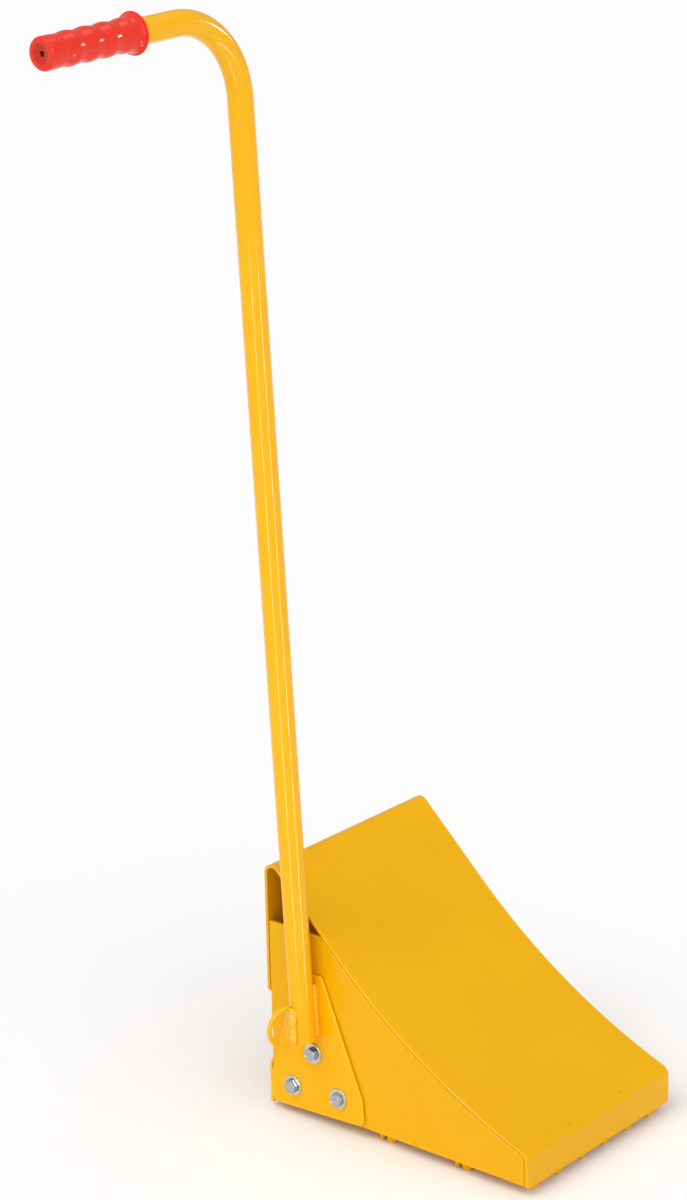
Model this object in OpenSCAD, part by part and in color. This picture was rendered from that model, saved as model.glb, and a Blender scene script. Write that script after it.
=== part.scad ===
// Sheet steel wheel chock with a bolted-on tube handle.
// +X points to the toe, +Y to the side away from the handle, +Z up.
// The origin is on the ground, under the middle of the chock's footprint.

/* [Chock shell] */
// Length from the heel to the toe lip
chock_length = 335; // [325:1:345]
// Width over the ramp plate
chock_width = 244; // [236:1:280]
// Thickness of the sheet steel
sheet = 3.4; // [2.8:0.1:3.8]
// Height of the toe lip, to the sharp corner it would have without its bend
lip_height = 37.1; // [34:0.1:42]
// Slope of the tyre face at the toe, in degrees
toe_slope = 20; // [18:0.5:22]
// Slope of the straight upper stretch of the tyre face, in degrees
top_slope = 44; // [42:0.5:46]
// Radius of the hollow of the tyre face
face_radius = 689; // [670:1:710]
// Outer radius of the sheet's two bends
bend_radius = 10.5; // [8:0.5:13]
// Height of the upper back flange's lower edge, above the lip's lower edge
flange_bottom = 120.6; // [110:0.1:130]
// Height of the side plates' level top edge, above the lip's lower edge
side_top = 200.4; // [190:0.1:210]
// Step from the lip's lower edge up to the side plates' lower edge
side_lift = 2.5; // [1:0.5:3]
// Set-back of each side plate from the ramp plate's edge
side_inset = 0.4; // [0.2:0.1:1]
// Gap between the side plates' edges and the ramp plate
fit_gap = 0.6; // [0.3:0.1:1]
// Radius of the toe lip's lower corners
lip_corner = 5; // [3:0.5:8]
// Radius of the upper back flange's lower corners
flange_corner = 4; // [3:0.5:8]

/* [Base and heel] */
// Depth of the grip teeth below the base plate
tooth_drop = 10; // [8:0.5:12]
// Outer radius of a punched grip button
button_radius = 14.6; // [12:0.2:15]
// Width of one grip tooth
tooth_width = 8.5; // [6:0.5:10]
// Spacing of the single teeth across the front row
front_pitch = 39.3; // [36:0.1:42]
// Spacing of the rows in the staggered field of buttons
row_pitch = 48.6; // [46:0.1:54]
// Height of the heel plate's top edge, above the lip's lower edge
heel_top = 42; // [36:1:60]
// Depth of the heel plate below the lip's lower edge
heel_drop = 6; // [2:0.5:8]

/* [Handle bracket] */
// Thickness of the bracket plate
bracket_thick = 4.2; // [3:0.1:6]
// Height of the bracket plate
bracket_height = 155.5; // [150:0.5:165]
// Width of the bracket plate at its foot
bracket_foot = 123; // [110:1:130]
// Width of the bracket plate at its top
bracket_head = 33; // [30:1:44]
// Height of the bracket plate's upright side edges
bracket_shoulder = 28; // [20:1:40]
// Lean of the handle towards the heel, in degrees
handle_lean = 2.9; // [0:0.1:4]
// Distance from the heel to the handle's axis, at its foot
handle_from_heel = 67.4; // [66:0.1:74]

/* [Handle tube] */
// Outside diameter of the handle tube
tube_d = 25.4; // [24:0.1:27]
// Wall of the handle tube
tube_wall = 2; // [1.2:0.1:3]
// Height of the tube's cut foot above the bracket's lower edge
tube_foot = 87.5; // [84:0.5:94]
// Height where the top bend starts, above the bracket's lower edge
tube_straight = 1048.2; // [700:0.1:1200]
// Centre-line radius of the top bend
tube_bend = 80; // [60:1:100]
// Angle of the top bend, in degrees
tube_bend_angle = 92; // [88:1:95]
// Length from the end of the bend to the grip's closed end
grip_reach = 173.6; // [150:0.1:200]

/* [Grip] */
// Length of the grip
grip_length = 119; // [110:1:130]
// Mean outside radius of the grip
grip_radius = 15.7; // [15.3:0.1:17]
// Height of the finger swells above the mean radius
swell = 0.65; // [0.2:0.05:1.2]
// Length of one finger swell
swell_pitch = 23.5; // [22:0.1:24]
// Radius of the grip's flange
flange_radius = 20.3; // [18:0.1:23]

/* [Chain ring] */
// Diameter of the ring's round bar
ring_bar = 4.8; // [4:0.1:5.5]
// Reach of the ring's outer edge from the tube's axis
ring_reach = 44; // [42:0.5:50]
// Height of the ring over its bar
ring_height = 46; // [42:0.5:48]
// Height of the ring's middle above the bracket's lower edge
ring_middle = 107.5; // [107:0.5:116]
// Turn of the ring from straight outwards towards the heel, in degrees
ring_turn = 14; // [0:1:25]

/* [Fasteners] */
// Diameter of the bolts
bolt_d = 7.9; // [7:0.1:8]
// Width across flats of the bolt heads and the nuts
hex_flats = 12.7; // [12:0.1:13]
// Outside diameter of the washers
washer_d = 22.2; // [18:0.1:23]
// Thickness of the washers
washer_thick = 1.6; // [1:0.1:2]
// Half of the spacing of the two lower bolts
bolt_half_spacing = 30.5; // [28:0.5:34]
// Height of the two lower bolts above the bracket's lower edge
lower_bolt = 24.7; // [22:0.1:28]
// Height of the upper bolt above the bracket's lower edge
upper_bolt = 67.9; // [64:0.1:70]

/* [Hidden] */
$fn = 96;
FACE_FN = 1440;
BOLTS = ["upper", "rear", "front"];
SIDES = ["handle_side", "far_side"];

powder_yellow = "#F7B61D";
zinc = "#C3C6C9";
grip_red = "#E8402F";

function along(angle) = [cos(angle), sin(angle)];
function unit(v) = v / norm(v);

// Side view of the shell, from the heel and the lip's lower edge.
face_centre = [
    chock_length + face_radius * sin(toe_slope),
    lip_height + face_radius * cos(toe_slope)
];
top_normal = [sin(top_slope), cos(top_slope)];
face_start = face_centre - face_radius * top_normal;
top_bend_centre = [
    bend_radius,
    (face_start * top_normal - bend_radius * (1 + sin(top_slope))) / cos(top_slope)
];
toe_bend_x = chock_length - bend_radius;
toe_bend_centre = [
    toe_bend_x,
    face_centre[1] - sqrt(pow(face_radius + bend_radius, 2) - pow(face_centre[0] - toe_bend_x, 2))
];
toe_normal = unit(face_centre - toe_bend_centre);

// Side plates and base plate.
side_outer = chock_width / 2 - side_inset;
side_inner = side_outer - sheet;
edge_gap = sheet + fit_gap;
base_half = side_inner - fit_gap;
heel_x = -chock_length / 2;

// Grip: a front row of single teeth, a staggered field of buttons behind it and a rear row of buttons.
button_bore = button_radius - sheet;
tooth_bevel = 0.3 * tooth_width;
tooth_root = 1.5;
front_row_x = chock_length - 10.8;
field_x = chock_length - 90.3;
rear_row_x = 36;
field_rows = 4;
pair_row = [-99, -33, 33, 99];
odd_row = [-66, 0, 66];

// Handle, in the leaning handle frame.
contact_gap = 0.05;
bracket_lift = 2;
bracket_back_y = -side_outer;
bracket_face_y = bracket_back_y - bracket_thick;
bracket_corners = [7, 7, 3, 5, 5, 3];
tube_r = tube_d / 2;
tube_y = bracket_face_y - tube_r - contact_gap;
bend_centre_y = tube_y - tube_bend;
cap_thick = 5;
bend_overlap = 0.5;
bend_thinning = 0.1;

// Bolts, washers and nuts.
bolt_places = [[0, upper_bolt], [-bolt_half_spacing, lower_bolt], [bolt_half_spacing, lower_bolt]];
bolt_hole_r = bolt_d / 2 + 0.4;
washer_hole_r = bolt_d / 2 + 0.8;
head_height = 5.4;
nut_height = 6.7;
nut_collar = 1.3;
thread_end = 2;
outer_washer_y = bracket_face_y - washer_thick;
inner_washer_y = -side_inner;
nut_y = inner_washer_y + washer_thick;
bolt_end_y = nut_y + nut_height + thread_end;

// Chain ring, in its own plane.
ring_r = (ring_height - ring_bar) / 2;
ring_round_x = ring_reach - ring_bar / 2 - ring_r;
ring_bar_x = tube_r + ring_bar / 2 + contact_gap;
ring_corner = 4;

// Welds.
tube_weld_length = 58;
tube_weld_r = 3.1;
ring_weld_length = 38;
ring_weld_r = 2.4;
stitch_leg = 4.5;

// Moves shell coordinates, taken from the heel and the lip's lower edge, into the part's frame.
module shell_frame() {
    translate([heel_x, 0, tooth_drop]) children();
}

// The handle's own frame: origin on the tube's axis line at the bracket's lower edge, +Z up the tube.
module handle_frame() {
    shell_frame() translate([handle_from_heel, 0, bracket_lift]) rotate([0, -handle_lean, 0]) children();
}

// The tube's end: +Z along the leg that carries the grip, origin at the end of the bend.
module reach_frame() {
    handle_frame() translate([0, bend_centre_y, tube_straight])
        rotate([tube_bend_angle, 0, 0]) translate([0, tube_bend, 0]) children();
}

// The chain ring's own plane: +X out from the tube's axis, +Y up the tube.
module ring_frame() {
    handle_frame() translate([0, tube_y, ring_middle]) rotate([90, 0, -90 - ring_turn]) children();
}

// A bolt's own frame: +Z out of the chock's side, origin on the chock's middle plane.
module bolt_frame(i) {
    handle_frame() translate([bolt_places[i][0], 0, bolt_places[i][1]]) rotate([90, 0, 0]) children();
}

// Stands an outline of the X-Z plane up as a plate that reaches from y over a thickness in +Y.
module side_view_plate(y, thickness) {
    translate([0, y + thickness, 0]) rotate([90, 0, 0]) linear_extrude(thickness) children();
}

module both_sides() {
    children();
    mirror([0, 1, 0]) children();
}

module on_side(side) {
    mirror([0, side == "handle_side" ? 0 : 1, 0]) children();
}

// A convex outline, given counter-clockwise, with its own radius at each corner.
module rounded_outline(points, radii) {
    n = len(points);
    to_last = [for (i = [0:n - 1]) unit(points[(i + n - 1) % n] - points[i])];
    to_next = [for (i = [0:n - 1]) unit(points[(i + 1) % n] - points[i])];
    half = [for (i = [0:n - 1]) acos(to_last[i] * to_next[i]) / 2];
    polygon([
        for (i = [0:n - 1], way = [to_last[i], to_next[i]]) points[i] + way * radii[i] / tan(half[i])
    ]);
    for (i = [0:n - 1])
        translate(points[i] + unit(to_last[i] + to_next[i]) * radii[i] / sin(half[i])) circle(radii[i]);
}

// The area under the ramp plate, an inset in from its outer surface and down to a base height.
module under_face(inset, base) {
    difference() {
        polygon([
            [inset, base],
            [chock_length - inset, base],
            [chock_length - inset, toe_bend_centre[1]],
            face_centre - (face_radius + inset) * toe_normal,
            face_centre - (face_radius + inset) * top_normal,
            top_bend_centre + (bend_radius - inset) * top_normal,
            [inset, top_bend_centre[1]]
        ]);
        translate(face_centre) circle(face_radius + inset, $fn = FACE_FN);
    }
    translate(top_bend_centre) circle(bend_radius - inset);
    translate(toe_bend_centre) circle(bend_radius - inset);
}

// What a rounded corner takes off a plate that fills +Y and +Z from the origin.
module corner_waste(radius) {
    translate([-1, 0, 0]) rotate([90, 0, 90]) linear_extrude(sheet + 2)
        difference() {
            translate([-1, -1]) square(radius + 1);
            translate([radius, radius]) circle(radius);
        }
}

module ramp_plate() {
    color(powder_yellow)
        shell_frame() difference() {
            side_view_plate(-chock_width / 2, chock_width)
                difference() {
                    under_face(0, 0);
                    under_face(sheet, -1);
                    translate([-1, -1]) square([sheet + 2, flange_bottom + 1]);
                }
            both_sides() translate([0, -chock_width / 2, flange_bottom]) corner_waste(flange_corner);
            both_sides() translate([chock_length - sheet, -chock_width / 2, 0]) corner_waste(lip_corner);
        }
}

module side_plate() {
    shell_frame() side_view_plate(-side_outer, sheet)
        intersection() {
            under_face(edge_gap, -1);
            translate([0, side_lift]) square([chock_length, side_top - side_lift]);
        }
}

// The three bolt holes, through the bracket and the side plate behind it.
module bolt_holes() {
    for (i = [0:2])
        bolt_frame(i) translate([0, 0, side_inner - 1]) cylinder(r = bolt_hole_r, h = bracket_thick + sheet + 2);
}

module handle_side_plate() {
    color(powder_yellow)
        difference() {
            side_plate();
            bolt_holes();
        }
}

module far_side_plate() {
    color(powder_yellow) mirror([0, 1, 0]) side_plate();
}

// Side view of one blunt tooth, from its tip at zero up to a height.
module tooth_outline(height) {
    half = tooth_width / 2;
    polygon([
        [-half, height], [-half, tooth_bevel], [tooth_bevel - half, 0],
        [half - tooth_bevel, 0], [half, tooth_bevel], [half, height]
    ]);
}

// One grip button, pressed down from the base plate into a ring of six blunt teeth.
module grip_button() {
    difference() {
        union() {
            intersection() {
                cylinder(r = button_radius, h = tooth_drop);
                for (turn = [30:60:150])
                    rotate([90, 0, turn]) linear_extrude(3 * button_radius, center = true)
                        tooth_outline(tooth_drop);
            }
            translate([0, 0, tooth_drop - tooth_root]) cylinder(r = button_radius, h = tooth_root);
        }
        translate([0, 0, -1]) cylinder(r = button_bore, h = tooth_drop + 2);
    }
}

// Places its children at every grip button of the base plate.
module at_buttons() {
    for (row = [0:field_rows - 1], y = row % 2 == 0 ? pair_row : odd_row)
        translate([heel_x + field_x - row * row_pitch, y, 0]) children();
    for (y = odd_row) translate([heel_x + rear_row_x, y, 0]) children();
}

// The front row: single teeth bent down close behind the toe lip.
module front_teeth() {
    for (i = [-2.5:1:2.5])
        translate([heel_x + front_row_x, i * front_pitch, 0])
            rotate([90, 0, 90]) linear_extrude(sheet) tooth_outline(tooth_drop + tooth_root);
}

module base_plate() {
    base_length = chock_length - 2 * edge_gap;
    color(powder_yellow) {
        difference() {
            translate([heel_x + edge_gap, -base_half, tooth_drop]) cube([base_length, 2 * base_half, sheet]);
            at_buttons() translate([0, 0, tooth_drop - 1]) cylinder(r = button_bore, h = sheet + 2);
        }
        at_buttons() grip_button();
        front_teeth();
    }
}

module heel_plate() {
    half = chock_width / 2;
    color(powder_yellow)
        shell_frame() rotate([90, 0, 90]) linear_extrude(sheet)
            rounded_outline(
                [[-half, -heel_drop], [half, -heel_drop], [half, heel_top], [-half, heel_top]],
                [1, 1, 4, 4]
            );
}

module handle_bracket() {
    foot = bracket_foot / 2;
    head = bracket_head / 2;
    color(powder_yellow)
        difference() {
            handle_frame() side_view_plate(bracket_face_y, bracket_thick)
                rounded_outline(
                    [
                        [-foot, 0], [foot, 0], [foot, bracket_shoulder],
                        [head, bracket_height], [-head, bracket_height], [-foot, bracket_shoulder]
                    ],
                    bracket_corners
                );
            bolt_holes();
        }
}

// The tube's run as a solid bar: the long leg, the top bend and the leg that carries the grip.
// The bend is drawn a little thinner than the legs, which run on over its two ends.
module tube_run(r, beyond) {
    leg = tube_straight - tube_foot + beyond;
    reach = grip_reach - cap_thick - contact_gap + beyond;
    handle_frame() translate([0, tube_y, tube_foot - beyond]) cylinder(r = r, h = leg + bend_overlap);
    handle_frame() translate([0, bend_centre_y, tube_straight]) rotate([90, 0, 90])
        rotate_extrude(angle = tube_bend_angle) translate([tube_bend, 0]) circle(r - bend_thinning);
    reach_frame() translate([0, 0, -bend_overlap]) cylinder(r = r, h = reach + bend_overlap);
}

module handle_tube() {
    color(powder_yellow)
        difference() {
            tube_run(tube_r, 0);
            tube_run(tube_r - tube_wall, 1);
        }
}

// Radius of the grip at a distance from its closed end: a plain end, then four finger swells.
function grip_wall(d) =
    let (first_hollow = 0.9 * swell_pitch)
    d < first_hollow
        ? grip_radius - swell + swell * (1 - pow(d / first_hollow, 4))
        : grip_radius - swell * cos((d - first_hollow) / swell_pitch * 360);

module grip() {
    end_round = 4;
    hole_r = 3;
    dish_r = 9;
    dish = 1.2;
    flange_thick = 3.6;
    flange_round = 1;
    bore_r = tube_r + contact_gap;
    neck = grip_length - flange_thick;
    edge_r = grip_wall(end_round) - end_round;
    color(grip_red)
        reach_frame() translate([0, 0, grip_reach])
            rotate_extrude() polygon(concat(
                [[hole_r, -cap_thick], [bore_r, -cap_thick], [bore_r, -grip_length]],
                [[flange_radius - flange_round, -grip_length], [flange_radius, -grip_length + flange_round]],
                [[flange_radius, -neck - flange_round], [flange_radius - flange_round, -neck]],
                [for (d = [neck:-2:end_round + 1]) [grip_wall(d), -d]],
                [for (a = [0:15:90]) [edge_r + end_round * cos(a), -end_round * (1 - sin(a))]],
                [[dish_r, 0], [dish_r - 2, -dish], [hole_r, -dish]]
            ));
}

module chain_ring() {
    bar_r = ring_bar / 2;
    corner_x = ring_bar_x + ring_corner;
    corner_y = ring_r - ring_corner;
    color(powder_yellow)
        ring_frame() {
            translate([ring_round_x, 0, 0]) rotate([0, 0, -90]) rotate_extrude(angle = 180)
                translate([ring_r, 0]) circle(bar_r);
            both_sides() translate([corner_x, corner_y, 0]) rotate([0, 0, 90]) rotate_extrude(angle = 90)
                translate([ring_corner, 0]) circle(bar_r);
            both_sides() translate([corner_x, ring_r, 0]) rotate([0, 90, 0])
                cylinder(r = bar_r, h = ring_round_x - corner_x);
            translate([ring_bar_x, -corner_y, 0]) rotate([-90, 0, 0]) cylinder(r = bar_r, h = 2 * corner_y);
        }
}

// The weld along the tube's line of contact with the bracket, on the toe side (1) or the heel side (-1).
module tube_weld(way) {
    color(powder_yellow)
        difference() {
            handle_frame() translate([way * 7.4, bracket_face_y - 1.7, tube_foot + 1.5])
                cylinder(r = tube_weld_r, h = tube_weld_length);
            tube_run(tube_r + contact_gap, 5);
            handle_frame() translate([-50, bracket_face_y - contact_gap, 0]) cube([100, 20, 200]);
        }
}

// The weld beside the chain ring's bar on the tube, on the toe side (-1) or the heel side (1).
module ring_weld(way) {
    color(powder_yellow)
        difference() {
            ring_frame() translate([tube_r + 1.5, -ring_weld_length / 2, way * 3.4])
                rotate([-90, 0, 0]) cylinder(r = ring_weld_r, h = ring_weld_length);
            tube_run(tube_r + contact_gap, 5);
            ring_frame() translate([ring_bar_x, -ring_height, 0])
                rotate([-90, 0, 0]) cylinder(r = ring_bar / 2 + contact_gap, h = 2 * ring_height);
        }
}

// A hex prism whose free end is turned to a 30 degree bevel.
module hex_block(height) {
    face_d = 0.95 * hex_flats;
    intersection() {
        cylinder(d = hex_flats / cos(30), h = height, $fn = 6);
        cylinder(d1 = face_d + 2 * height / tan(30), d2 = face_d, h = height);
    }
}

module hex_bolt(i) {
    color(zinc)
        bolt_frame(i) {
            translate([0, 0, -outer_washer_y]) hex_block(head_height);
            translate([0, 0, -bolt_end_y]) cylinder(d = bolt_d, h = bolt_end_y - outer_washer_y);
        }
}

// A flat washer whose outer face, as seen from the handle side, is at a given y.
module washer(i, y) {
    color(zinc)
        bolt_frame(i) translate([0, 0, -y - washer_thick])
            difference() {
                cylinder(d = washer_d, h = washer_thick);
                translate([0, 0, -1]) cylinder(r = washer_hole_r, h = washer_thick + 2);
            }
}

module lock_nut(i) {
    color(zinc)
        bolt_frame(i) translate([0, 0, -nut_y]) mirror([0, 0, 1])
            difference() {
                union() {
                    hex_block(nut_height - nut_collar);
                    cylinder(d = hex_flats - 1.5, h = nut_height);
                }
                translate([0, 0, -1]) cylinder(r = bolt_d / 2 + contact_gap, h = nut_height + 2);
            }
}

// A straight fillet of triangular section along +X, with its corner at the origin and legs in +Y and +Z.
module fillet(length) {
    rotate([90, 0, 90]) linear_extrude(length) polygon([[0, 0], [stitch_leg, 0], [0, stitch_leg]]);
}

// A stitch in the corner of a side plate and the underside of the tyre face, counted from the top.
module ramp_weld(side, i) {
    stitch_angle = 4;
    start = 270 - top_slope + 2 + (i - 1) * 8;
    corner_r = face_radius + sheet + contact_gap;
    color(powder_yellow)
        on_side(side) shell_frame() translate([face_centre[0], contact_gap - side_inner, face_centre[1]])
            rotate([90, 0, 0]) rotate([0, 0, start]) rotate_extrude(angle = stitch_angle, $fn = FACE_FN)
                polygon([[corner_r, 0], [corner_r, -stitch_leg], [corner_r + stitch_leg, 0]]);
}

// A stitch in the corner of a side plate and the base plate, counted from the heel.
module base_weld(side, i) {
    color(powder_yellow)
        on_side(side) shell_frame()
            translate([40 + (i - 1) * 170, contact_gap - side_inner, sheet + contact_gap]) fillet(50);
}

// An upright fillet in the corner of a side plate and the sheet across the back, from a height upwards.
module back_weld(side, z, length) {
    color(powder_yellow)
        on_side(side) shell_frame() translate([sheet + contact_gap, contact_gap - side_inner, z])
            linear_extrude(length) polygon([[0, 0], [stitch_leg, 0], [0, stitch_leg]]);
}

// A fillet across the chock on the base plate, facing the heel (turn 90) or the toe (turn -90).
module cross_weld(x, turn) {
    length = 160;
    color(powder_yellow)
        shell_frame() translate([x, 0, sheet + contact_gap]) rotate([0, 0, turn])
            translate([-length / 2, 0, 0]) fillet(length);
}

ramp_plate();
handle_side_plate();
far_side_plate();
base_plate();
heel_plate();
handle_bracket();
handle_tube();
grip();
chain_ring();
tube_weld(1);  // tube_weld_front
tube_weld(-1);  // tube_weld_rear
ring_weld(-1);  // ring_weld_front
ring_weld(1);  // ring_weld_rear
for (i = [0:2]) {
    hex_bolt(i);
    washer(i, outer_washer_y);
    washer(i, inner_washer_y);
    lock_nut(i);
}
for (side = SIDES) {
    for (i = [1:3]) ramp_weld(side, i);
    for (i = [1:2]) base_weld(side, i);
    back_weld(side, 130, 50);
    back_weld(side, 8, 28);
}
cross_weld(chock_length - sheet - contact_gap, 90);  // base_toe_weld
cross_weld(sheet + contact_gap, -90);  // base_heel_weld
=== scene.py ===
"""Looks of the wheel chock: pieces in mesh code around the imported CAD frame, materials, light and camera."""
import math
import random

import bmesh
import bpy
from mathutils import Matrix, Vector, noise


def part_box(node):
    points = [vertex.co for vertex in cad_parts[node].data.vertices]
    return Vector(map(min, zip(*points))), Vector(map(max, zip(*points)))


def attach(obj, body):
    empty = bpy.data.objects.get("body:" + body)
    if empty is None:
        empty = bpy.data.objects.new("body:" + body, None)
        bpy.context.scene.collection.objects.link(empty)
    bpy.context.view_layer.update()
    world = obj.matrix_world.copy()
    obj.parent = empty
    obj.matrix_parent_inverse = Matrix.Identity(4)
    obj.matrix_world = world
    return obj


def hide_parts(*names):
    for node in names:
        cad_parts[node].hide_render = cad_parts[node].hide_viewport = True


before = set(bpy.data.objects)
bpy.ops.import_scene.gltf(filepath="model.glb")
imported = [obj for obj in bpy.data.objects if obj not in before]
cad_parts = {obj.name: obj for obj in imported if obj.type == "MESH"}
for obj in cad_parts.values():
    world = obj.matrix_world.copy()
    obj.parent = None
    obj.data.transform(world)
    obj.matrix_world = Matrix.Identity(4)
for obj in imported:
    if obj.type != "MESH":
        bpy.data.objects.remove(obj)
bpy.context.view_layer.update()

MM = 0.001
TAU = 2 * math.pi


# ---------------------------------------------------------------- materials
def new_material(name):
    """An empty material with one Principled shader: the material, its tree and the shader."""
    mat = bpy.data.materials.new(name)
    mat.use_nodes = True
    tree = mat.node_tree
    tree.nodes.clear()
    out = tree.nodes.new("ShaderNodeOutputMaterial")
    shader = tree.nodes.new("ShaderNodeBsdfPrincipled")
    tree.links.new(shader.outputs[0], out.inputs[0])
    return mat, tree, shader


def add(tree, kind, **sockets):
    """A node, its inputs set or linked by name (_ for a space) or number (i0); p_name sets a property."""
    node = tree.nodes.new(kind)
    for key, value in sockets.items():
        if key.startswith("p_"):
            setattr(node, key[2:], value)
            continue
        name = key.replace("_", " ")
        socket = node.inputs[int(key[1:])] if key[0] == "i" and key[1:].isdigit() else node.inputs[name]
        if isinstance(value, bpy.types.NodeSocket):
            tree.links.new(value, socket)
        else:
            socket.default_value = value
    return node


def noise_tex(tree, place, scale, detail):
    """Output of a noise texture, scale in cycles per metre."""
    return add(tree, "ShaderNodeTexNoise", Vector=place, Scale=scale, Detail=detail, Roughness=0.5).outputs[0]


def ramp(tree, fac, low, high, a=0.0, b=1.0):
    """Output that goes from a to b while fac goes from low to high, and stays level outside."""
    return add(tree, "ShaderNodeMapRange", p_clamp=True, i0=fac, i1=low, i2=high, i3=a, i4=b).outputs[0]


def mix_rgb(tree, fac, a, b):
    """Output of a colour mix; fac, a and b are values or sockets."""
    node = tree.nodes.new("ShaderNodeMix")
    node.data_type = "RGBA"
    node.blend_type = "MIX"
    for socket, value in ((node.inputs[0], fac), (node.inputs[6], a), (node.inputs[7], b)):
        if isinstance(value, bpy.types.NodeSocket):
            tree.links.new(value, socket)
        else:
            socket.default_value = value
    return node.outputs[2]


def rgb(r, g, b):
    """Linear colour of an sRGB triple in 0..255."""
    def lin(v):
        v /= 255
        return v / 12.92 if v <= 0.04045 else ((v + 0.055) / 1.055) ** 2.4
    return (lin(r), lin(g), lin(b), 1.0)


def powder_coat(name, main, deep, chips=(), gloss=0.14, rough=0.12, painted_shade_y=None, peel=0.05):
    """Powder coat: faint drift of colour, orange peel, dust specks, brown chips sunk into it, and, if asked, a
    painted shade line near one y.
    """
    mat, tree, shader = new_material(name)
    place = add(tree, "ShaderNodeTexCoord").outputs["Object"]
    drift = ramp(tree, noise_tex(tree, place, 9.0, 3.0), 0.35, 0.65)
    colour = mix_rgb(tree, drift, main, deep)
    speck = ramp(tree, noise_tex(tree, place, 420.0, 1.0), 0.74, 0.80, 0.0, 0.35)
    colour = mix_rgb(tree, speck, colour, rgb(150, 96, 20))
    rough = ramp(tree, noise_tex(tree, place, 60.0, 4.0), 0.3, 0.7, rough, rough + 0.015)
    height = noise_tex(tree, place, 520.0, 1.0)
    if painted_shade_y:
        # painted shade: within the last millimetre before the given y, where this plate meets the one behind
        # it, the colour turns brown as the shadowed crevice
        y = add(tree, "ShaderNodeSeparateXYZ", i0=place).outputs[1]
        colour = mix_rgb(tree, ramp(tree, y, painted_shade_y - 1.3 * MM, painted_shade_y - 0.7 * MM), colour, rgb(150, 82, 12))
    for centre, radius in chips:
        wobble = add(tree, "ShaderNodeTexNoise", Vector=place, Scale=900.0, Detail=2.0)
        shift = add(tree, "ShaderNodeVectorMath", p_operation="SCALE", i0=wobble.outputs["Color"],
                    Scale=radius * 1.6)
        moved = add(tree, "ShaderNodeVectorMath", p_operation="ADD", i0=place, i1=shift.outputs[0])
        away = add(tree, "ShaderNodeVectorMath", p_operation="DISTANCE", i0=moved.outputs[0],
                   i1=[c + radius * 0.8 for c in centre])
        mask = ramp(tree, away.outputs["Value"], radius * 0.85, radius, 1.0, 0.0)
        colour = mix_rgb(tree, mask, colour, rgb(118, 84, 48))
        height = add(tree, "ShaderNodeMath", p_operation="SUBTRACT", i0=height, i1=mask).outputs[0]
    bump = add(tree, "ShaderNodeBump", Strength=peel, Distance=0.0004, Height=height)
    tree.links.new(colour, shader.inputs["Base Color"])
    tree.links.new(rough, shader.inputs["Roughness"])
    tree.links.new(bump.outputs[0], shader.inputs["Normal"])
    shader.inputs["Specular IOR Level"].default_value = gloss
    return mat


def vinyl(name, main, deep):
    """Dipped vinyl: a drift of colour, soft gloss, slow waves in its skin, a little light under it."""
    mat, tree, shader = new_material(name)
    place = add(tree, "ShaderNodeTexCoord").outputs["Object"]
    drift = ramp(tree, noise_tex(tree, place, 30.0, 3.0), 0.3, 0.7)
    colour = mix_rgb(tree, drift, main, deep)
    rough = ramp(tree, noise_tex(tree, place, 160.0, 3.0), 0.3, 0.7, 0.16, 0.20)
    bump = add(tree, "ShaderNodeBump", Strength=0.06, Distance=0.0008,
               Height=noise_tex(tree, place, 90.0, 1.0))
    tree.links.new(colour, shader.inputs["Base Color"])
    tree.links.new(rough, shader.inputs["Roughness"])
    tree.links.new(bump.outputs[0], shader.inputs["Normal"])
    shader.inputs["Specular IOR Level"].default_value = 0.22
    shader.inputs["Subsurface Weight"].default_value = 0.12
    shader.inputs["Subsurface Radius"].default_value = (0.004, 0.001, 0.0008)
    shader.inputs["Subsurface Scale"].default_value = 1.0
    return mat


def zinc(name, light, dark):
    """Zinc plate: bright grey with a faint bloom and fine tool marks."""
    mat, tree, shader = new_material(name)
    place = add(tree, "ShaderNodeTexCoord").outputs["Object"]
    bloom = ramp(tree, noise_tex(tree, place, 180.0, 3.0), 0.35, 0.65)
    colour = mix_rgb(tree, bloom, light, dark)
    rough = ramp(tree, noise_tex(tree, place, 500.0, 3.0), 0.3, 0.7, 0.20, 0.28)
    bump = add(tree, "ShaderNodeBump", Strength=0.04, Distance=0.0002,
               Height=noise_tex(tree, place, 1400.0, 2.0))
    tree.links.new(colour, shader.inputs["Base Color"])
    tree.links.new(rough, shader.inputs["Roughness"])
    tree.links.new(bump.outputs[0], shader.inputs["Normal"])
    shader.inputs["Metallic"].default_value = 1.0
    return mat


def nylon(name):
    """The lock nuts' insert: pale, slightly waxy nylon."""
    mat, tree, shader = new_material(name)
    place = add(tree, "ShaderNodeTexCoord").outputs["Object"]
    drift = ramp(tree, noise_tex(tree, place, 600.0, 3.0), 0.3, 0.7)
    colour = mix_rgb(tree, drift, rgb(232, 230, 220), rgb(214, 212, 204))
    rough = ramp(tree, noise_tex(tree, place, 900.0, 2.0), 0.3, 0.7, 0.40, 0.55)
    tree.links.new(colour, shader.inputs["Base Color"])
    tree.links.new(rough, shader.inputs["Roughness"])
    return mat


def pale_floor(name):
    """The studio floor: plain and pale, with a drift too faint to see as a pattern."""
    mat, tree, shader = new_material(name)
    place = add(tree, "ShaderNodeTexCoord").outputs["Object"]
    drift = ramp(tree, noise_tex(tree, place, 1.5, 2.0), 0.3, 0.7)
    colour = mix_rgb(tree, drift, (0.965, 0.965, 0.965, 1), (0.955, 0.955, 0.955, 1))
    tree.links.new(colour, shader.inputs["Base Color"])
    shader.inputs["Roughness"].default_value = 0.9
    shader.inputs["Specular IOR Level"].default_value = 0.1
    return mat


YELLOW_MAIN = rgb(236, 176, 5)
YELLOW_DEEP = rgb(233, 171, 4)
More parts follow.
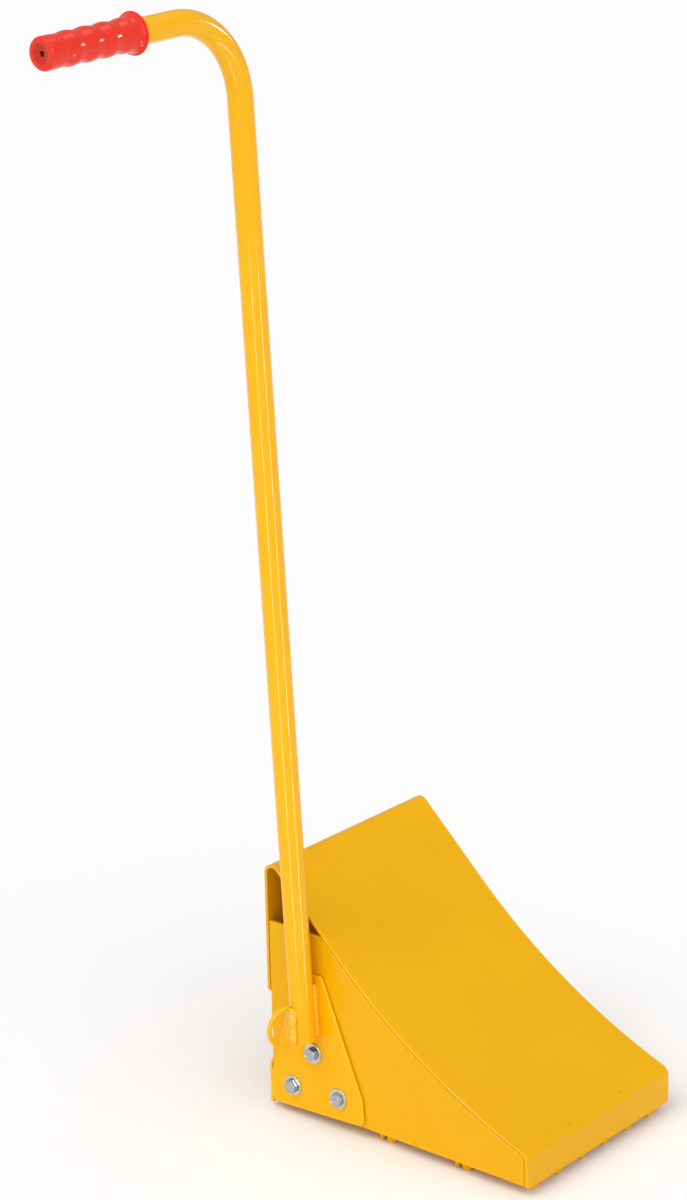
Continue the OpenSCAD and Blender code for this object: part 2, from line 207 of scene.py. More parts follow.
# places where the paint is chipped or specked, as (centre, radius), in millimetres
CHIPS = [((161.6, -45.3, 49.2), 0.85), ((163.4, -43.1, 48.2), 0.5), ((161.2, 44.9, 49.4), 0.8),
         ((160.1, 50.6, 49.8), 0.55), ((160.7, 59.6, 49.6), 0.45), ((151.0, -120.6, 53.4), 0.7),
         ((-64.6, -22.4, 188.7), 0.4), ((-79.4, 15.2, 202.8), 0.4)]
SIDE_CHIPS = [((24.7, -121.6, 17.9), 0.7), ((-87.9, -121.6, 202.5), 0.55), ((8.2, -121.6, 42.0), 0.4)]


def in_metres(chips):
    """Chips with their centres and radii in metres."""
    return [([c * MM for c in centre], radius * MM) for centre, radius in chips]


yellow = powder_coat("powder_yellow", YELLOW_MAIN, YELLOW_DEEP)
yellow_ramp = powder_coat("powder_ramp", YELLOW_MAIN, YELLOW_DEEP, in_metres(CHIPS))
yellow_side = powder_coat("powder_side", YELLOW_MAIN, YELLOW_DEEP, in_metres(SIDE_CHIPS))
# painted highlight: the plates' rounded edges get a lighter yellow, with more gloss, so that they read as lit
# rims
yellow_edge_highlight = powder_coat("powder_edge_highlight", rgb(246, 192, 8), rgb(244, 188, 6), gloss=0.45)
yellow_tube = powder_coat("powder_tube", rgb(246, 182, 4), rgb(243, 178, 4), gloss=0.24, rough=0.15,
                          peel=0.002)
yellow_weld = powder_coat("powder_weld", rgb(246, 186, 8), rgb(242, 180, 6), gloss=0.6)
yellow_bracket = powder_coat("powder_bracket", rgb(245, 180, 6), rgb(243, 176, 5))
red = vinyl("vinyl_red", rgb(232, 54, 34), rgb(227, 48, 30))
# painted shade: a darker red for the hollow dish in the grip's closed end
red_dish_shade = vinyl("vinyl_dish_shade", rgb(196, 46, 32), rgb(188, 42, 28))
zinc_plate = zinc("zinc_plate", rgb(206, 208, 196), rgb(194, 196, 186))
zinc_blue = zinc("zinc_blue", rgb(184, 188, 200), rgb(170, 174, 186))
insert = nylon("nylon_insert")


# ---------------------------------------------------------------- mesh helpers
def piece(name, bm, mats, nodes, sharp, weighted=False):
    """Makes a mesh piece that rides on the one body and stands for the CAD nodes."""
    bmesh.ops.remove_doubles(bm, verts=bm.verts, dist=1e-7)
    bmesh.ops.recalc_face_normals(bm, faces=bm.faces)
    me = bpy.data.meshes.new(name)
    bm.to_mesh(me)
    bm.free()
    for mat in mats:
        me.materials.append(mat)
    me.polygons.foreach_set("use_smooth", [True] * len(me.polygons))
    me.set_sharp_from_angle(angle=math.radians(sharp))
    ob = bpy.data.objects.new(name, me)
    bpy.context.scene.collection.objects.link(ob)
    if weighted:
        mod = ob.modifiers.new("flat_faces", "WEIGHTED_NORMAL")
        mod.keep_sharp = True
        mod.weight = 80
    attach(ob, "root")
    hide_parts(*nodes)


def skin(bm, rings, close=False, mat=0):
    """Joins rings of points with quads; close joins the last ring to the first, else both are capped."""
    made = [[bm.verts.new(p) for p in ring] for ring in rings]
    pairs = list(zip(made, made[1:]))
    if close:
        pairs.append((made[-1], made[0]))
    faces = []
    for a, b in pairs:
        n = len(a)
        for i in range(n):
            j = (i + 1) % n
            faces.append(bm.faces.new((a[i], a[j], b[j], b[i])))
    if not close:
        faces.append(bm.faces.new(list(reversed(made[0]))))
        faces.append(bm.faces.new(made[-1]))
    for f in faces:
        f.material_index = mat


def turned(place, profile, n):
    """Rings of a profile of (radius, height) turned about z, set in place by a matrix."""
    return [[place @ Vector((r * math.cos(TAU * i / n), r * math.sin(TAU * i / n), h)) for i in range(n)]
            for r, h in profile]


def round_hole(x, y, radius, n):
    """A circle of n points about (x, y), as an outline's hole."""
    return [(x + radius * math.cos(TAU * i / n), y + radius * math.sin(TAU * i / n)) for i in range(n)]


def arc(cx, cy, r, a0, a1, steps):
    """Points on an arc, angles in degrees, both ends included."""
    return [(cx + r * math.cos(math.radians(a0 + (a1 - a0) * i / steps)),
             cy + r * math.sin(math.radians(a0 + (a1 - a0) * i / steps))) for i in range(steps + 1)]


def smooth(t):
    """Eases from 0 to 1."""
    t = max(0.0, min(1.0, t))
    return t * t * (3 - 2 * t)


# ---------------------------------------------------------------- shell
ramp_lo, ramp_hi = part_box("ramp_plate")
side_lo, side_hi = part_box("handle_side_plate")
far_lo, far_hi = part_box("far_side_plate")
heel_lo, heel_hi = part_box("heel_plate")
bracket_lo, bracket_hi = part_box("handle_bracket")
base_lo, base_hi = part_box("base_plate")

SHEET = 3.4 * MM
EDGE = 0.55 * MM
LENGTH = ramp_hi.x - ramp_lo.x
# painted light: the bracket's rounded edges get a lighter, glossier yellow (painted highlight) and turn brown
# where they meet the side plate (painted shade)
bracket_rim_highlight_and_shade = powder_coat("powder_rim_painted_light", rgb(250, 196, 8), rgb(247, 191, 6), gloss=0.45, painted_shade_y=bracket_hi.y)
HALF_WIDTH = ramp_hi.y
HEEL_X = ramp_lo.x
LIP_Z = ramp_lo.z
LIP_HEIGHT = 37.1 * MM
TOE_SLOPE = 20.0
TOP_SLOPE = 44.0
FACE_RADIUS = 689 * MM
BEND_RADIUS = 10.5 * MM
FLANGE_BOTTOM = 120.6 * MM
LIP_CORNER = 5 * MM
FLANGE_CORNER = 4 * MM
EDGE_GAP = 4.5 * MM
HEEL_LOW_CORNER = 1 * MM
HEEL_TOP_CORNER = 4 * MM

FACE_C = (LENGTH + FACE_RADIUS * math.sin(math.radians(TOE_SLOPE)),
          LIP_HEIGHT + FACE_RADIUS * math.cos(math.radians(TOE_SLOPE)))
TOP_N = (math.sin(math.radians(TOP_SLOPE)), math.cos(math.radians(TOP_SLOPE)))
FACE_START = (FACE_C[0] - FACE_RADIUS * TOP_N[0], FACE_C[1] - FACE_RADIUS * TOP_N[1])
TOP_C = (BEND_RADIUS, (FACE_START[0] * TOP_N[0] + FACE_START[1] * TOP_N[1]
                       - BEND_RADIUS * (1 + TOP_N[0])) / TOP_N[1])
TOE_X = LENGTH - BEND_RADIUS
TOE_C = (TOE_X, FACE_C[1] - math.sqrt((FACE_RADIUS + BEND_RADIUS) ** 2 - (FACE_C[0] - TOE_X) ** 2))
TOE_A = math.degrees(math.atan2(FACE_C[1] - TOE_C[1], FACE_C[0] - TOE_C[0]))


def shell_path(inset):
    """The sheet's side view at a depth under its outer face, from the back flange over the top to the lip."""
    pts = [(inset, FLANGE_BOTTOM + (TOP_C[1] - FLANGE_BOTTOM) * i / 12) for i in range(12)]
    pts += arc(*TOP_C, BEND_RADIUS - inset, 180, 90 - TOP_SLOPE, 16)
    face_r = FACE_RADIUS + inset
    a, b = pts[-1], (FACE_C[0] - face_r * TOP_N[0], FACE_C[1] - face_r * TOP_N[1])
    pts += [(a[0] + (b[0] - a[0]) * i / 6, a[1] + (b[1] - a[1]) * i / 6) for i in range(1, 6)]
    pts += arc(*FACE_C, face_r, 270 - TOP_SLOPE, 180 + TOE_A, 48)
    pts += arc(*TOE_C, BEND_RADIUS - inset, TOE_A, 0, 14)[1:]
    pts += [(LENGTH - inset, TOE_C[1] * (1 - i / 8)) for i in range(1, 9)]
    return pts


def shell_point(p, y):
    """A point of the shell's side view, (from the heel, above the lip's edge), at a place y across."""
    return Vector((HEEL_X + p[0], y, LIP_Z + p[1]))


def bent_sheet():
    """The ramp plate: a rounded-edge strip that follows the side view, with round corners at its two ends."""
    mid = shell_path(SHEET / 2)
    # the distance run along the path at each of its points
    run = [0.0]
    for a, b in zip(mid, mid[1:]):
        run.append(run[-1] + math.dist(a, b))
    total = run[-1]

    def at(s):
        s = max(0.0, min(total, s))
        for i in range(len(run) - 1):
            if s <= run[i + 1] + 1e-12:
                break
        t = (s - run[i]) / (run[i + 1] - run[i])
        a, b = mid[i], mid[i + 1]
        return (a[0] + (b[0] - a[0]) * t, a[1] + (b[1] - a[1]) * t)

    def tangent(s):
        a, b = at(s - 0.4 * MM), at(s + 0.4 * MM)
        d = math.dist(a, b)
        return ((b[0] - a[0]) / d, (b[1] - a[1]) / d)

    stops = set(run[1:-1])
    for end_r, from_start in ((FLANGE_CORNER, True), (LIP_CORNER, False)):
        for k in range(1, 11):
            s = end_r * (1 - math.cos(math.radians(9 * k)))
            stops.add(s if from_start else total - s)
    stops = sorted(s for s in stops if EDGE * 1.2 < s < total - EDGE * 1.2)
    rings = []

    def ring(s, thin):
        """One cross-section; thin is how much the edge rounding takes off at the sheet's cut ends."""
        p, t = at(s), tangent(s)
        n = (-t[1], t[0])
        half_t = SHEET / 2 - thin
        w = HALF_WIDTH - thin
        for radius, q in ((FLANGE_CORNER, s), (LIP_CORNER, total - s)):
            if q < radius:
                w = HALF_WIDTH - radius + math.sqrt(max(0, radius ** 2 - (radius - q) ** 2)) - thin
        e = min(EDGE, half_t * 0.9)
        out = []
        for cy, cn, a0 in ((w - e, half_t - e, 0), (-w + e, half_t - e, 90), (-w + e, -half_t + e, 180),
                           (w - e, -half_t + e, 270)):
            for k in range(4):
                a = math.radians(a0 + 30 * k)
                y, d = cy + e * math.cos(a), cn + e * math.sin(a)
                out.append(shell_point((p[0] + n[0] * d, p[1] + n[1] * d), y))
        return out

    for a in (90, 60, 30):
        q = EDGE * (1 - math.sin(math.radians(90 - a)))
        rings.append(ring(q, q * 0.9))
    for s in stops:
        rings.append(ring(s, 0.0))
    for a in (30, 60, 90):
        q = EDGE * (1 - math.sin(math.radians(90 - a)))
        rings.append(ring(total - q, q * 0.9))
    bm = bmesh.new()
    skin(bm, rings)
    bm.normal_update()
    # painted highlight: the rounded edge faces take the second, lighter coat
    for f in bm.faces:
        f.material_index = 1 if 0.25 < abs(f.normal.y) < 0.95 else 0
    piece("ramp_sheet", bm, [yellow_ramp, yellow_edge_highlight], ["ramp_plate"], sharp=50, weighted=True)


def flat_plate(name, outline, holes, to_world, thickness, mats, nodes, edge=EDGE):
    """A flat plate with rounded edges: a filled outline with holes, in metres in its own plane.

    Without materials it gives the unfinished mesh back, for more to be added.
    """
    cu = bpy.data.curves.new(name + "_outline", "CURVE")
    cu.dimensions = "2D"
    cu.fill_mode = "BOTH"
    cu.extrude = thickness / 2 - edge
    cu.bevel_depth = edge
    cu.bevel_resolution = 2
    cu.offset = -edge

    def area(loop):
        return sum(a[0] * b[1] - b[0] * a[1] for a, b in zip(loop, loop[1:] + loop[:1])) / 2

    for k, loop in enumerate([outline] + holes):
        if (area(loop) > 0) != (k == 0):
            loop = loop[::-1]
        sp = cu.splines.new("POLY")
        sp.points.add(len(loop) - 1)
        for point, (u, v) in zip(sp.points, loop):
            point.co = (u, v, 0, 1)
        sp.use_cyclic_u = True
    holder = bpy.data.objects.new(name + "_outline", cu)
    bpy.context.scene.collection.objects.link(holder)
    bpy.context.view_layer.update()
    made = bpy.data.meshes.new_from_object(holder.evaluated_get(bpy.context.evaluated_depsgraph_get()))
    bpy.data.objects.remove(holder)
    bpy.data.curves.remove(cu)
    bm = bmesh.new()
    bm.from_mesh(made)
    bpy.data.meshes.remove(made)
    bmesh.ops.transform(bm, matrix=to_world, verts=bm.verts)
    bmesh.ops.remove_doubles(bm, verts=bm.verts, dist=2e-6)
    bm.normal_update()
    flat = to_world.to_3x3() @ Vector((0, 0, 1))
    # faces that are not flat (the rounded edges) take the second material, a lighter coat: painted highlight
    for f in bm.faces:
        f.material_index = 1 if mats and len(mats) > 1 and abs(f.normal.dot(flat)) < 0.97 else 0
    if mats is None:
        return bm
    return piece(name, bm, mats, nodes, sharp=50, weighted=True)


def upright(y_mid, x0=0.0, z0=0.0, lean=0.0):
    """Matrix that stands local (u, v) up as (x, z) about a thickness centred on y_mid."""
    turn = Matrix(((1, 0, 0, 0), (0, 0, 1, 0), (0, 1, 0, 0), (0, 0, 0, 1)))
    return Matrix.Translation((x0, y_mid, z0)) @ Matrix.Rotation(-lean, 4, "Y") @ turn


SIDE_TOP = side_hi.z - LIP_Z
SIDE_LIFT = side_lo.z - LIP_Z

# handle frame: leans with the tube, origin at the middle of the bracket's lower edge
LEAN = math.radians(2.9)
HANDLE_X = HEEL_X + 67.4 * MM
HANDLE_Z = LIP_Z + 2 * MM
BOLTS = {"upper": (0.0, 67.9 * MM), "rear": (-30.5 * MM, 24.7 * MM), "front": (30.5 * MM, 24.7 * MM)}
HOLE_R = 4.35 * MM


def handle_point(x, y, z):
    """A point of the leaning handle frame in the row frame."""
    return Vector((HANDLE_X + x * math.cos(LEAN) - z * math.sin(LEAN), y,
                   HANDLE_Z + x * math.sin(LEAN) + z * math.cos(LEAN)))


def handle_matrix():
    """Matrix of the leaning handle frame."""
    return Matrix.Translation((HANDLE_X, 0, HANDLE_Z)) @ Matrix.Rotation(-LEAN, 4, "Y")


def side_outline():
    """A side plate's outline in the side view: it follows the ramp and is cut level at its top."""
    path = shell_path(EDGE_GAP)
    first = next(i for i in range(30, len(path)) if path[i][1] < SIDE_TOP)
    a, b = path[first - 1], path[first]
    t = (a[1] - SIDE_TOP) / (a[1] - b[1])
    cut = (a[0] + (b[0] - a[0]) * t, SIDE_TOP)
    kept = [p for p in path[first:] if p[1] > SIDE_LIFT + 0.2 * MM]
    return [(EDGE_GAP, SIDE_LIFT), (EDGE_GAP, SIDE_TOP), cut] + kept + [(LENGTH - EDGE_GAP, SIDE_LIFT)]


def side_plates():
    """Both side plates; only the one on the handle's side has bolt holes."""
    outline = [(HEEL_X + p[0], LIP_Z + p[1]) for p in side_outline()]
    holes = []
    for x, z in BOLTS.values():
        c = handle_point(x, 0, z)
        holes.append(round_hole(c.x, c.z, HOLE_R, 40))
    flat_plate("side_plate_near", outline, holes, upright((side_lo.y + side_hi.y) / 2), SHEET,
               [yellow_side, yellow_edge_highlight], ["handle_side_plate"])
    flat_plate("side_plate_far", outline, [], upright((far_lo.y + far_hi.y) / 2), SHEET,
               [yellow, yellow_edge_highlight], ["far_side_plate"])


def rounded(points, radii, steps=10):
    """A convex counter-clockwise outline with a radius at each corner."""
    out = []
    n = len(points)
    for i, (p, r) in enumerate(zip(points, radii)):
        p = Vector(p)
        a = (Vector(points[i - 1]) - p).normalized()
        b = (Vector(points[(i + 1) % n]) - p).normalized()
        half = math.acos(max(-1, min(1, a.dot(b)))) / 2
        centre = p + (a + b).normalized() * (r / math.sin(half))
        start = p + a * (r / math.tan(half)) - centre
        sweep = math.pi - 2 * half
        for k in range(steps + 1):
            t = sweep * k / steps
            out.append((centre.x + start.x * math.cos(t) - start.y * math.sin(t),
                        centre.y + start.x * math.sin(t) + start.y * math.cos(t)))
    return out


def heel():
    """The upright strip across the lower back."""
    lo, hi = heel_lo, heel_hi
    outline = rounded([(lo.y, lo.z), (hi.y, lo.z), (hi.y, hi.z), (lo.y, hi.z)],
                      [HEEL_LOW_CORNER, HEEL_LOW_CORNER, HEEL_TOP_CORNER, HEEL_TOP_CORNER])
    turn = Matrix(((0, 0, 1, (lo.x + hi.x) / 2), (1, 0, 0, 0), (0, 1, 0, 0), (0, 0, 0, 1)))
    flat_plate("heel_strip", outline, [], turn, SHEET, [yellow, yellow_edge_highlight], ["heel_plate"])


def bracket():
    """The tapered plate between the tube and the side plate, with its three bolt holes."""
    foot, head, shoulder, top = 61.5 * MM, 16.5 * MM, 28 * MM, 155.5 * MM
    outline = rounded([(-foot, 0), (foot, 0), (foot, shoulder), (head, top), (-head, top), (-foot, shoulder)],
                      [7 * MM, 7 * MM, 3 * MM, 5 * MM, 5 * MM, 3 * MM])
    holes = [round_hole(x, z, HOLE_R, 40) for x, z in BOLTS.values()]
    y_mid = (bracket_lo.y + bracket_hi.y) / 2
    flat_plate("bracket_plate", outline, holes, upright(y_mid, HANDLE_X, HANDLE_Z, LEAN),
               bracket_hi.y - bracket_lo.y, [yellow_bracket, bracket_rim_highlight_and_shade], ["handle_bracket"], edge=0.7 * MM)


# ---------------------------------------------------------------- base plate with its grip buttons
BUTTON_R = 14.6 * MM
BUTTON_BORE = 11.2 * MM
TOOTH_W = 8.5 * MM
TOOTH_ROOT = 1.5 * MM
# the buttons stand in rows across the plate, x measured from the heel
PAIR_ROW = [-99 * MM, -33 * MM, 33 * MM, 99 * MM]
ODD_ROW = [-66 * MM, 0.0, 66 * MM]
FIELD_X = LENGTH - 90.3 * MM
ROW_PITCH = 48.6 * MM
FIELD_ROWS = 4
REAR_ROW_X = 36 * MM
FRONT_ROW_X = LENGTH - 10.8 * MM
FRONT_PITCH = 39.3 * MM
FRONT_TEETH = 6


def button_places():
    """Centres of the grip buttons: staggered rows of four and three, and one row near the heel."""
    rows = [(FIELD_X - row * ROW_PITCH, ODD_ROW if row % 2 else PAIR_ROW) for row in range(FIELD_ROWS)]
    rows.append((REAR_ROW_X, ODD_ROW))
    return [(HEEL_X + x, y) for x, ys in rows for y in ys]


def tooth_edge(drop):
    """One sixth of a button's lower edge as (angle, height) pairs, with a full-round tooth in its middle."""
    mean = (BUTTON_R + BUTTON_BORE) / 2
    half = TOOTH_W / 2
    valley = drop - TOOTH_ROOT
    third = TAU / 12
    out = [(-third, valley), ((-half * 1.12) / mean, valley), ((-half * 1.05) / mean, valley - 0.5 * MM)]
    for k in range(13):
        a = math.pi * k / 12
        out.append((-math.cos(a) * half / mean, half * (1 - math.sin(a))))
    out += [((half * 1.05) / mean, valley - 0.5 * MM), ((half * 1.12) / mean, valley)]
    return out


def grip_button(bm, x, y, drop, top):
    """A button pressed down out of the plate: flared collar, then a ring wall that ends in six teeth."""
    edge = []
    for k in range(6):
        edge += [(a + TAU * k / 6, z) for a, z in tooth_edge(drop)]
    centre = Vector((x, y, 0))
    flare = top - drop

    def at(a, r, z):
        return centre + Vector((r * math.cos(a), r * math.sin(a), z))

    columns = []
    for a, z in edge:
        col = [at(a, BUTTON_R + 0.3 * MM, drop)]
        col.append(at(a, BUTTON_R, drop - 0.3 * MM))
        col.append(at(a, BUTTON_R, z + 0.35 * MM))
        col.append(at(a, BUTTON_R - 0.35 * MM, z))
        col.append(at(a, BUTTON_BORE + 0.35 * MM, z))
        col.append(at(a, BUTTON_BORE, z + 0.35 * MM))
        for k in range(6):
            t = math.radians(90 * k / 5)
            col.append(at(a, BUTTON_BORE + flare * (1 - math.cos(t)), top - flare * (1 - math.sin(t))))
        columns.append(col)
    made = [[bm.verts.new(p) for p in col] for col in columns]
    n = len(made)
    for i in range(n):
        a, b = made[i], made[(i + 1) % n]
        for k in range(len(a) - 1):
            bm.faces.new((a[k], b[k], b[k + 1], a[k + 1]))


def front_tooth(bm, x, y, top):
    """A single tooth bent down behind the toe lip, round at its tip."""
    half = TOOTH_W / 2

    def ring(at_x, inset):
        r = half - inset
        side = [(r, top - 0.4 * MM), (-r, top - 0.4 * MM)]
        tip = [(-r * math.cos(math.pi * k / 14), half - r * math.sin(math.pi * k / 14)) for k in range(15)]
        return [Vector((at_x, y + a, b)) for a, b in side + tip]

    e = 0.4 * MM
    skin(bm, [ring(x, e), ring(x + e * 0.3, e * 0.3), ring(x + e, 0), ring(x + SHEET - e, 0),
              ring(x + SHEET - e * 0.3, e * 0.3), ring(x + SHEET, e)])


def base_plate():
    """The base plate: a flat sheet with its formed buttons and the front row of single teeth."""
    lo, hi = base_lo, base_hi
    top = hi.z
    drop = top - SHEET
    outline = rounded([(lo.x, lo.y), (hi.x, lo.y), (hi.x, hi.y), (lo.x, hi.y)], [2 * MM] * 4, 4)
    holes = [round_hole(x, y, BUTTON_R + 0.15 * MM, 96) for x, y in button_places()]
    bm = flat_plate("base_sheet", outline, holes, Matrix.Translation((0, 0, (top + drop) / 2)), SHEET,
                    None, None, edge=0.12 * MM)
    for x, y in button_places():
        grip_button(bm, x, y, drop, top)
    for i in range(FRONT_TEETH):
        front_tooth(bm, HEEL_X + FRONT_ROW_X, (i - (FRONT_TEETH - 1) / 2) * FRONT_PITCH, top)
    piece("base_sheet", bm, [yellow], ["base_plate"], sharp=50, weighted=True)


# ---------------------------------------------------------------- handle
TUBE_R = 12.7 * MM
TUBE_WALL = 2 * MM
TUBE_Y = bracket_lo.y - TUBE_R - 0.05 * MM
TUBE_FOOT = 87.5 * MM
TUBE_STRAIGHT = 1048.2 * MM
TUBE_BEND = 80 * MM
BEND_ANGLE = math.radians(92)
GRIP_REACH = 173.6 * MM
CAP = 5 * MM


def tube_station(s):
    """Centre, outward normal and flattening (0..1) of the tube, s metres past its foot (handle frame)."""
    leg = TUBE_STRAIGHT - TUBE_FOOT
    bend = TUBE_BEND * BEND_ANGLE
    cy = TUBE_Y - TUBE_BEND
    if s <= leg:
        return Vector((0, TUBE_Y, TUBE_FOOT + s)), Vector((0, 1, 0)), 0.0
    a = min(BEND_ANGLE, (s - leg) / TUBE_BEND)
    out = Vector((0, math.cos(a), math.sin(a)))
    centre = Vector((0, cy, TUBE_STRAIGHT)) + out * TUBE_BEND
    if s > leg + bend:
        centre += Vector((0, -math.sin(a), math.cos(a))) * (s - leg - bend)
    flat = math.sin(math.pi * min(1.0, (s - leg) / bend)) if s < leg + bend else 0.0
    return centre, out, flat


def handle():
    """The handle tube, with a wall, a flat foot and one bend that is slightly flattened."""
    leg = TUBE_STRAIGHT - TUBE_FOOT
    bend = TUBE_BEND * BEND_ANGLE
    total = leg + bend + GRIP_REACH - CAP
    n = 64
    stops = [leg * i / 24 for i in range(1, 24)] + [leg + bend * i / 40 for i in range(41)]
    stops += [leg + bend + (total - leg - bend) * i / 6 for i in range(1, 6)]
    place = handle_matrix()

    def ring(s, r):
        c, out, flat = tube_station(s)
        side = Vector((1, 0, 0))
        squash, bulge = 1 - 0.035 * flat, 1 + 0.015 * flat
        return [place @ (c + out * (r * squash * math.cos(TAU * i / n))
                         + side * (r * bulge * math.sin(TAU * i / n))) for i in range(n)]

    e = 0.3 * MM
    rings = []
    inner = TUBE_R - TUBE_WALL
    rings.append(ring(0, TUBE_R - e))
    rings.append(ring(e * 0.3, TUBE_R - e * 0.3))
    rings.append(ring(e, TUBE_R))
    rings += [ring(s, TUBE_R) for s in stops]
    rings.append(ring(total, TUBE_R))
    rings.append(ring(total, inner))
    rings += [ring(s, inner) for s in reversed(stops)]
    rings.append(ring(e, inner))
    rings.append(ring(0, inner + e))
    bm = bmesh.new()
    skin(bm, rings, close=True)
    piece("handle_pipe", bm, [yellow_tube], ["handle_tube"], sharp=40)


def grip_radius(d):
    """Outside radius of the finger swells at a distance from the closed end, in millimetres."""
    mid, swell, pitch, first = 15.7, 0.65, 23.5, 21.15
    if d < first:
        return mid - swell + swell * (1 - (d / first) ** 4)
    return mid - swell * math.cos((d - first) / pitch * TAU)


def grip():
    """The vinyl grip, turned from one closed profile in millimetres, its closed end at height 0."""
    length, flange_r, bore = 119.0, 20.3, 12.76
    end_round = 3.6
    edge_r = grip_radius(end_round) - end_round
    rim = 1.15
    profile = [(bore, -length), (flange_r - 3.4, -length), (flange_r - 2.6, -length + 0.35),
               (flange_r - 1.9, -length + 0.35)]
    profile += [(r, h - length) for r, h in arc(flange_r - rim, rim, rim, -90, 90, 12)]
    # a fine groove, then the flare sweeps down to the body
    profile += [(flange_r - 1.7, -length + 2 * rim + 0.1)]
    flare_from = length - 2 * rim - 0.5
    flare_run = 11.0
    body_r = grip_radius(flare_from - flare_run)
    for k in range(15):
        t = k / 14
        profile.append((body_r + (flange_r - 1.35 - body_r) * (1 - t) ** 2.6, -flare_from + flare_run * t))
    d = flare_from - flare_run - 1
    while d > end_round + 0.6:
        profile.append((grip_radius(d), -d))
        d -= 1.0
    profile += arc(edge_r, -end_round, end_round, 0, 90, 9)
    # the dish in the closed end, then its small hole
    profile += [(edge_r * share, h) for share, h in ((0.95, -0.04), (0.88, -0.16), (0.80, -0.45),
                                                     (0.70, -0.85), (0.58, -1.2), (0.42, -1.45))]
    profile += [(3.6, -1.6), (3.0, -1.85), (2.8, -2.3), (2.75, -4.6), (2.9, -CAP / MM)]
    profile += [(bore - 0.4, -CAP / MM), (bore, -CAP / MM - 0.4)]
    rot = handle_matrix() @ Matrix.Translation((0, TUBE_Y - TUBE_BEND, TUBE_STRAIGHT)) \
        @ Matrix.Rotation(BEND_ANGLE, 4, "X") @ Matrix.Translation((0, TUBE_BEND, GRIP_REACH))
    bm = bmesh.new()
    skin(bm, turned(rot, [(r * MM, h * MM) for r, h in profile], 96), close=True)
    closed_end = rot @ Vector((0, 0, 0))
    # the faces of the dish take the darker red: painted shade in the hollow
    for f in bm.faces:
        if (f.calc_center_median() - closed_end).length < edge_r * 0.80 * MM:
            f.material_index = 1
    piece("finger_grip", bm, [red, red_dish_shade], ["grip"], sharp=50)


# ---------------------------------------------------------------- chain ring
RING_MID = 107.5 * MM
RING_TURN = math.radians(14)
RING_BAR = 2.4 * MM
RING_R = 20.6 * MM
RING_ROUND_X = 21.0 * MM
RING_CORNER = 4 * MM
RING_BAR_X = TUBE_R + RING_BAR + 0.05 * MM


def ring_matrix():
    """The ring's own plane: +X out from the tube's axis, +Y up the tube."""
    return handle_matrix() @ Matrix.Translation((0, TUBE_Y, RING_MID)) \
        @ Matrix.Rotation(-math.pi / 2 - RING_TURN, 4, "Z") @ Matrix.Rotation(math.pi / 2, 4, "X")


def chain_ring():
    """The D of round bar, its straight side along the tube."""
    path = arc(RING_ROUND_X, 0, RING_R, -90, 90, 40)
    cx, cy = RING_BAR_X + RING_CORNER, RING_R - RING_CORNER
    path += arc(cx, cy, RING_CORNER, 90, 180, 8)
    path += [(RING_BAR_X, cy * (1 - 2 * i / 12)) for i in range(1, 12)]
    path += arc(cx, -cy, RING_CORNER, 180, 270, 8)
    place = ring_matrix()
    rings, n, count = [], 20, len(path)
    for i, p in enumerate(path):
        a, b = Vector(path[i - 1]), Vector(path[(i + 1) % count])
        t = (b - a).normalized()
        out = Vector((t.y, -t.x, 0))
        c = Vector((p[0], p[1], 0))
        rings.append([place @ (c + out * (RING_BAR * math.cos(TAU * k / n))
                               + Vector((0, 0, RING_BAR * math.sin(TAU * k / n)))) for k in range(n)])
    bm = bmesh.new()
    skin(bm, rings, close=True)
    piece("ring_bar", bm, [yellow_tube], ["chain_ring"], sharp=50)


# ---------------------------------------------------------------- welds
def bead(name, node, path, outs, half_w, height, seed, pitch=2.2 * MM, sunk=0.45, lumps=0.10,
         world=None, coat=yellow):
    """A weld bead along a path: overlapping crescents, uneven, with round ends."""
    rng = random.Random(seed)
    run = [0.0]
    for a, b in zip(path, path[1:]):
        run.append(run[-1] + (b - a).length)
    total = run[-1]
    step = pitch / 5
    count = max(8, int(total / step))
    offset = Vector((rng.uniform(0, 50), rng.uniform(0, 50), 0))

    def at(s):
        for i in range(len(run) - 1):
            if s <= run[i + 1] + 1e-12:
                break
        t = (s - run[i]) / (run[i + 1] - run[i])
        along = (path[i + 1] - path[i]).normalized()
        return path[i].lerp(path[i + 1], t), along, outs[i].lerp(outs[i + 1], t).normalized()

    rings, n = [], 18
    for k in range(count + 1):
        s = total * k / count
        c, t, o = at(s)
        b = t.cross(o).normalized()
        end = min(s, total - s) / half_w
        taper = math.sqrt(max(0.02, 1 - (1 - min(1, end)) ** 2))
        wave = abs(math.sin(math.pi * s / pitch))
        swell = 1 + lumps * noise.noise(Vector((s * 160, 0, 0)) + offset) * 2
        ring = []
        for i in range(n):
            a = TAU * i / n
            up, across = math.sin(a), math.cos(a)
            h = height * (0.86 + 0.14 * wave) * swell if up > 0 else height * sunk
            uneven = noise.noise(Vector((s * 120, across * 2, 9)) + offset)
            w = half_w * (0.95 + 0.05 * wave) * (1 + 0.7 * lumps * uneven)
            lag = -0.55 * half_w * across * across
            s_shift = lag * min(1.0, end) if up > -0.2 else 0.0
            q = c + o * (h * up * taper) + b * (w * across * taper) + t * s_shift
            ring.append(q if world is None else world @ q)
        rings.append(ring)
    bm = bmesh.new()
    skin(bm, rings)
    piece(name, bm, [coat], [node], sharp=60)


